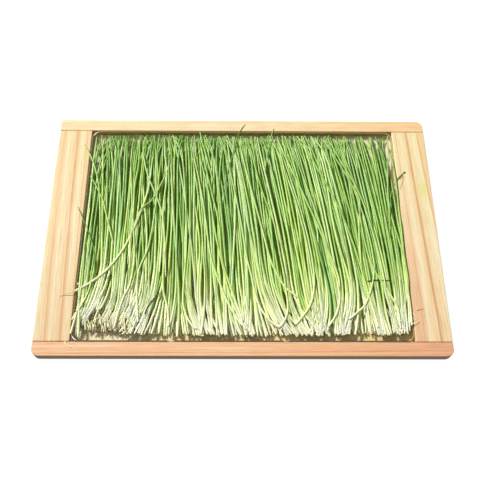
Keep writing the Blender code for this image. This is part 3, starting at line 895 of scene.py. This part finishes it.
def set_input(modifier, name, value):
    """Sets a modifier's input, given by name, through its socket's identifier."""
    for item in modifier.node_group.interface.items_tree:
        if item.item_type == "SOCKET" and item.in_out == "INPUT" and item.name == name:
            modifier[item.identifier] = value


def guide_mesh(name, lines):
    """Lines of edges in metres. A line has points in mm, and a list of numbers per attribute."""
    vertices, edges, values = [], [], {}
    for line in lines:
        first = len(vertices)
        vertices.extend(line["points"] * MM)
        edges.extend((first + step, first + step + 1) for step in range(len(line["points"]) - 1))
        for key, numbers in line["values"].items():
            values.setdefault(key, []).extend(numbers)
    guide = bpy.data.meshes.new(name + " lines")
    guide.from_pydata([tuple(point) for point in vertices], edges, [])
    for key, numbers in values.items():
        layer = guide.attributes.new(key, "FLOAT", "POINT")
        layer.data.foreach_set("value", np.array(numbers, np.float32))
    return guide


def swept_piece(name, lines, material, tree, sides=STALK_SIDES):
    """One plain mesh from many lines."""
    guide = guide_mesh(name, lines)
    obj = new_object(name, guide)
    modifier = obj.modifiers.new("sweep", "NODES")
    modifier.node_group = tree
    set_input(modifier, "Thickness scale", MM)
    set_input(modifier, "Sides", sides)
    set_input(modifier, "Material", material)
    bpy.context.view_layer.update()
    mesh = bpy.data.meshes.new_from_object(obj.evaluated_get(bpy.context.evaluated_depsgraph_get()))
    obj.modifiers.clear()
    obj.data = mesh
    bpy.data.meshes.remove(guide)
    mesh.name = name
    mesh.shade_smooth()
    mesh.set_sharp_from_angle(angle=SHARP_ANGLE)
    triangles = sum(len(face.vertices) - 2 for face in mesh.polygons)
    print(name, "lines:", len(lines), "triangles:", triangles)
    return obj


stalks = stalk_tree()

# %% [markdown]
# ## The shoots' skin
# A shoot is white where it grew in the dark, yellow-green above that, and green to its tip, and no
# two shoots are alike. The cut itself dries tan within the hour. Each point carries how green it is
# and how far it is from the cut, and each shoot its own shade and hue, as attributes. The material
# reads them, and adds fine veins along the stalk, paler patches and a waxy gloss. A low shade
# darkens a shoot and a high one makes it paler; since the lower shoots get the lower shades, this is
# partly painted shade and painted light.

# %% Shoot material
GREEN_PLACES = (0.0, 0.22, 0.45, 0.7, 1.0)
YELLOWISH = (tone(253, 252, 212), tone(239, 245, 174), tone(216, 234, 126), tone(190, 219, 94),
             tone(166, 205, 84))
BLUISH = (tone(251, 252, 224), tone(228, 241, 184), tone(200, 227, 142), tone(162, 205, 108),
          tone(136, 186, 94))
# The vein tint also darkens shoots with a low shade as painted shade, and the pale colour is painted
# light on shoots with a high shade.
VEIN_AND_SHADE_TINT, PAINTED_LIGHT_PALE, PATCH_COLOUR = tone(158, 190, 128), tone(238, 249, 192), tone(232, 236, 150)
DRIED = tone(206, 182, 112)


def read_attribute(tree, name):
    return add_node("ShaderNodeAttribute", {}, tree, attribute_name=name).outputs["Fac"]


def shoot_skin(name):
    material, tree, shader = new_material(name)
    _, x, y, z = place_in_mm(tree)
    green, shade, hue = (read_attribute(tree, key) for key in ("green", "shade", "hue"))
    ramps = [colour_ramp(green, list(zip(GREEN_PLACES, stops))) for stops in (YELLOWISH, BLUISH)]
    colour = mix_colours(hue, *ramps)
    veins = stretched_noise((x, y, z), (3.0, 0.12, 1.0), 1.6, 3.0, 0.6)
    patches = stretched_noise((x, y, z), (1.0, 0.3, 1.0), 0.35)
    dark = mix_colours(1.0, colour, VEIN_AND_SHADE_TINT, "MULTIPLY")
    in_veins = rescale(veins, 0.42, 0.70, 0.0, 0.25)
    # Painted shade: a low shade darkens a shoot, along with its veins.
    vein_and_shade_darkness = calculate("ADD", in_veins, rescale(shade, 0.55, 0.0, 0.0, 0.75))
    vein_and_shade_darkness = multiply(vein_and_shade_darkness, rescale(green, 0.0, 0.4, 0.4, 1.0))
    colour = mix_colours(vein_and_shade_darkness, colour, dark)
    # Painted light: a high shade, which mostly the top shoots have, makes a shoot paler.
    colour = mix_colours(rescale(shade, 0.65, 1.0, 0.0, 0.4), colour, PAINTED_LIGHT_PALE)
    colour = mix_colours(rescale(patches, 0.54, 0.75, 0.0, 0.3), colour, PATCH_COLOUR)
    from_cut = calculate("ADD", read_attribute(tree, "from_cut"), multiply(patches, 1.6))
    dry = multiply(rescale(from_cut, 2.6, -1.5), 0.75)
    fill_inputs(shader, {
        "Base Color": mix_colours(dry, colour, DRIED),
        "Roughness": rescale(veins, 0.3, 0.7, 0.30, 0.44),
        "Normal": bump(veins, 0.2, 0.08),
        "IOR": 1.45, "Specular IOR Level": 0.5,
        "Subsurface Weight": 0.35, "Subsurface Radius": (0.8, 1.0, 0.35), "Subsurface Scale": 0.6 * MM,
    })
    return material


skin = shoot_skin("shoot skin")
print("shoot skin nodes:", len(skin.node_tree.nodes))

# %% [markdown]
# ## The three handfuls
# Each laid line has 200 points, far more than a stalk needs. Seventeen are kept, closer together
# near the curved cut end.

# %% Handfuls
HANDFULS = (
    ("left_handful", "shoots_left", -71.2, -24.0),
    ("middle_handful", "shoots_middle", -24.0, 24.0),
    ("right_handful", "shoots_right", 24.0, 71.2),
)
CLOSER_AT_CUT = 1.25                            # 1 would space the points evenly
GREEN_ALONG = (0.0, 0.35, 1.0, 1.9, 3.2)        # in lengths of the white zone
GREEN = (0.0, 0.16, 0.58, 0.84, 1.0)
ALL_DRY, NO_CUT = -0.2, 10.0                    # mm from the cut, as the skin reads it


def stalk_line(shoot):
    share = np.linspace(0, 1, STALK_POINTS) ** CLOSER_AT_CUT
    points = np.stack([np.interp(share, shares, shoot[axis]) for axis in "xyz"], axis=1)
    steps = np.linalg.norm(np.diff(points, axis=0), axis=1)
    from_cut = np.concatenate(([0.0], np.cumsum(steps)))
    if shoot["end"] == "withered":
        from_cut = np.full(STALK_POINTS, ALL_DRY)
    if shoot["end"] == "tucked":
        from_cut += NO_CUT
    values = {"thickness": np.interp(share, shares, shoot["radius"]),
              "green": np.interp(from_cut / max(shoot["white"], 1.0), GREEN_ALONG, GREEN),
              "from_cut": from_cut,
              "shade": [shoot["shade"]] * STALK_POINTS,
              "hue": [shoot["hue"]] * STALK_POINTS}
    return {"points": points, "values": values}


for piece_name, node_name, start, stop in HANDFULS:
    lines = [stalk_line(shoot) for shoot in laid if start <= shoot["base_x"] < stop]
    handful = swept_piece(piece_name, lines, skin, stalks)
    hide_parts(node_name)
    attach(handful, "root")

# %% [markdown]
# ## Root threads, hairs and crumbs
# Small things make the tray look real: root threads that still hang from a few cut ends, some dark
# dry hairs, the black seed coat that one shoot still wears, and a few crumbs. Threads are swept like
# the shoots and come down on whatever lies below them. Crumbs are small lumps. One attribute,
# dryness, takes their colour from pale through tan to almost black.

# %% Thread and crumb material
DRYING = [(0.05, tone(252, 250, 228)), (0.35, tone(214, 176, 122)), (0.6, tone(120, 104, 52)),
          (0.9, tone(46, 44, 24))]


def dry_skin(name):
    material, tree, shader = new_material(name)
    mottle = noise(place_in_mm(tree)[0], 2.2, 3.0, 0.6)
    uneven = subtract(mottle, 0.5)
    drier = calculate("MULTIPLY_ADD", uneven, 0.3, read_attribute(tree, "dryness"))
    fill_inputs(shader, {"Base Color": colour_ramp(drier, DRYING), "Normal": bump(mottle, 0.4, 0.1),
                         "Roughness": rescale(mottle, 0.3, 0.7, 0.5, 0.75)})
    return material


dry = dry_skin("dry thread skin")
print("dry skin nodes:", len(dry.node_tree.nodes))

# %% Threads and hairs
THREAD_POINTS = 40
THREAD_SIDES = 5
THREAD_END = 0.55           # a thread's far end is this share of its thickness
STIFF_THREAD, LIMP_THREAD = 150.0, 8.0
THREADS = (
    # dryness, radius in mm, lift in radii, points in mm
    (0.30, 0.15, 0.9, ((-72.2, -30.7), (-73.6, -31.7), (-75.8, -32.2), (-77.4, -32.7), (-78.5, -33))),
    (0.02, 0.20, 0.9, ((-74.3, -53.3), (-73.8, -54.2), (-73.1, -54.9), (-71.3, -55.8))),
    (0.05, 0.15, 0.9, ((72.5, -40.2), (73.1, -41.2), (74.2, -42.3))),
    (0.05, 0.15, 0.9, ((72.3, -42.6), (73.1, -43.4), (74.3, -43.7))),
    (0.05, 0.14, 0.9, ((71.8, -45.4), (72.9, -44.9), (74.9, -44.1))),
    (0.00, 0.18, 2.0, ((60.7, -39), (61.5, -39.4), (62.1, -40.7), (62.1, -42.3))),
    (0.32, 0.14, 0.9, ((74.3, -39.2), (75.4, -38.7), (76.6, -38.4), (77.5, -38.7))),
    (0.30, 0.13, 0.9, ((75.7, 27.2), (74.9, 25), (73.9, 22.5), (73.4, 21.1))),
    (0.62, 0.14, 0.9, ((73.1, 26.9), (74.6, 27.6), (76, 27.8))),
    (0.80, 0.22, 2.0, ((-41.7, -41.2), (-40.5, -37.8), (-38.2, -34.3), (-36.2, -32.2), (-34.1, -31.2))),
    (0.75, 0.15, 2.0, ((-59.8, -23.8), (-59.1, -24.7), (-58, -23.8), (-57, -23.1))),
    (0.80, 0.24, 2.4, ((54.3, -25.9), (58, -25.4), (61.5, -25.5), (64.8, -25.4))),
)
thread_lines = []
for dryness, radius, lift, points in THREADS:
    line = smooth_line(points, THREAD_POINTS)
    stiffness = STIFF_THREAD if lift > 1.0 else LIMP_THREAD
    height = settle(line[:, 0], line[:, 1], radius, stiffness=stiffness, nest=lift)
    taper = np.linspace(1.0, THREAD_END, THREAD_POINTS)
    thread_lines.append({"points": np.column_stack([line[:, 0], line[:, 1], height]),
                         "values": {"thickness": taper * radius, "dryness": [dryness] * THREAD_POINTS}})
threads = swept_piece("root_threads_and_hairs", thread_lines, dry, stalks, THREAD_SIDES)

# %% Seed coat and crumbs
CRUMBS = (
    # dryness, place in mm, half sizes in mm, turn in degrees
    (0.95, (76.3, 30.0), (0.55, 0.34, 0.30), 40),
    (0.85, (-43.4, -41.3), (0.36, 0.32, 0.26), 0),
    (0.10, (-71.1, -27.5), (0.55, 0.42, 0.30), 20),
    (0.80, (-62.6, -45.6), (0.30, 0.26, 0.22), 0),
)
crumb_mesh = bmesh.new()
dryness_layer = crumb_mesh.verts.layers.float.new("dryness")
for dryness, (x, y), half_sizes, turn in CRUMBS:
    ground = float(support_under(np.array([x]), np.array([y]), half_sizes[0])[0])
    centre_z = min(ground + half_sizes[2] * 0.9, TOP_LIMIT - half_sizes[2])
    turned = Matrix.Rotation(math.radians(turn), 4, "Z")
    sized = Matrix.Diagonal((*(Vector(half_sizes) * MM), 1.0))
    place = Matrix.Translation(Vector((x, y, centre_z)) * MM) @ turned @ sized
    lump = bmesh.ops.create_icosphere(crumb_mesh, subdivisions=2, radius=1.0, matrix=place)
    for vertex in lump["verts"]:
        vertex[dryness_layer] = dryness
crumb_data = bpy.data.meshes.new("seed_coat_and_crumbs")
crumb_mesh.to_mesh(crumb_data)
crumb_mesh.free()
crumb_data.materials.append(dry)
crumb_data.shade_smooth()
crumbs = new_object("seed_coat_and_crumbs", crumb_data)
for piece in (threads, crumbs):
    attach(piece, "root")
print("crumbs:", len(CRUMBS), "faces:", len(crumb_data.polygons))

# %% [markdown]
# ## Studio
# The light in the photograph comes from behind and from the left, 41 degrees above the table: the
# back and left walls of the well throw short shadows into it, and the front of the tray is in shade.
# One distant lamp does that, and a weak white surrounding fills the shadows. The table and the
# backdrop are white, and give no light back.

# %% Floor and backdrop
def plain_white(name, albedo, glow):
    material, _, shader = new_material(name)
    fill_inputs(shader, {
        "Base Color": (albedo, albedo, albedo, 1.0), "Roughness": 1.0, "Specular IOR Level": 0.0,
        "Emission Color": (1.0, 1.0, 1.0, 1.0), "Emission Strength": glow,
    })
    return material


def stage_mesh(name, vertices, faces, material):
    mesh = bpy.data.meshes.new(name)
    mesh.from_pydata(vertices, [], faces)
    mesh.materials.append(material)
    obj = new_object(name, mesh)
    obj.visible_diffuse = False
    obj.visible_glossy = False
    return obj


FLOOR_HALF = 3.0
WALL_SIDES, WALL_HEIGHT = 32, 3.0
floor_corners = [(x * FLOOR_HALF, y * FLOOR_HALF, 0) for x, y in ((-1, -1), (1, -1), (1, 1), (-1, 1))]
stage_mesh("floor", floor_corners, [(0, 1, 2, 3)], plain_white("white table", 0.3, 0.92))
turns = [2 * math.pi * step / WALL_SIDES for step in range(WALL_SIDES)]
wall_vertices = [(FLOOR_HALF * math.cos(turn), FLOOR_HALF * math.sin(turn), z)
                 for z in (-0.01, WALL_HEIGHT) for turn in turns]
wall_faces = []
for step in range(WALL_SIDES):
    following = (step + 1) % WALL_SIDES
    wall_faces.append((step, following, WALL_SIDES + following, WALL_SIDES + step))
wall = stage_mesh("backdrop", wall_vertices, wall_faces, plain_white("white backdrop", 0.0, 1.0))
wall.visible_shadow = False
print("floor half width in m:", FLOOR_HALF)

# %% Lamps
KEY_AZIMUTH, KEY_ELEVATION = math.radians(-50), math.radians(41)
KEY_DISTANCE, KEY_SIZE, KEY_BRIGHTNESS = 6.0, 0.55, 0.85     # 1 makes level white paper just white
SURROUNDING_STRENGTH = 0.285
key_data = bpy.data.lights.new("key lamp", "AREA")
key_data.shape = "SQUARE"
key_data.size = KEY_SIZE
key_data.energy = KEY_BRIGHTNESS * math.pi ** 2 * KEY_DISTANCE ** 2 / math.sin(KEY_ELEVATION)
level = math.cos(KEY_ELEVATION)
to_lamp = Vector((math.sin(KEY_AZIMUTH) * level, math.cos(KEY_AZIMUTH) * level, math.sin(KEY_ELEVATION)))
key_lamp = new_object("key lamp", key_data)
key_lamp.location = to_lamp * KEY_DISTANCE
key_lamp.rotation_euler = to_lamp.to_track_quat("Z", "Y").to_euler()
world = bpy.data.worlds.new("surrounding")
world.use_nodes = True
background = world.node_tree.nodes["Background"]
background.inputs["Color"].default_value = (1.0, 1.0, 1.0, 1.0)
background.inputs["Strength"].default_value = SURROUNDING_STRENGTH
bpy.context.scene.world = world
bpy.context.scene.view_settings.view_transform = "Standard"
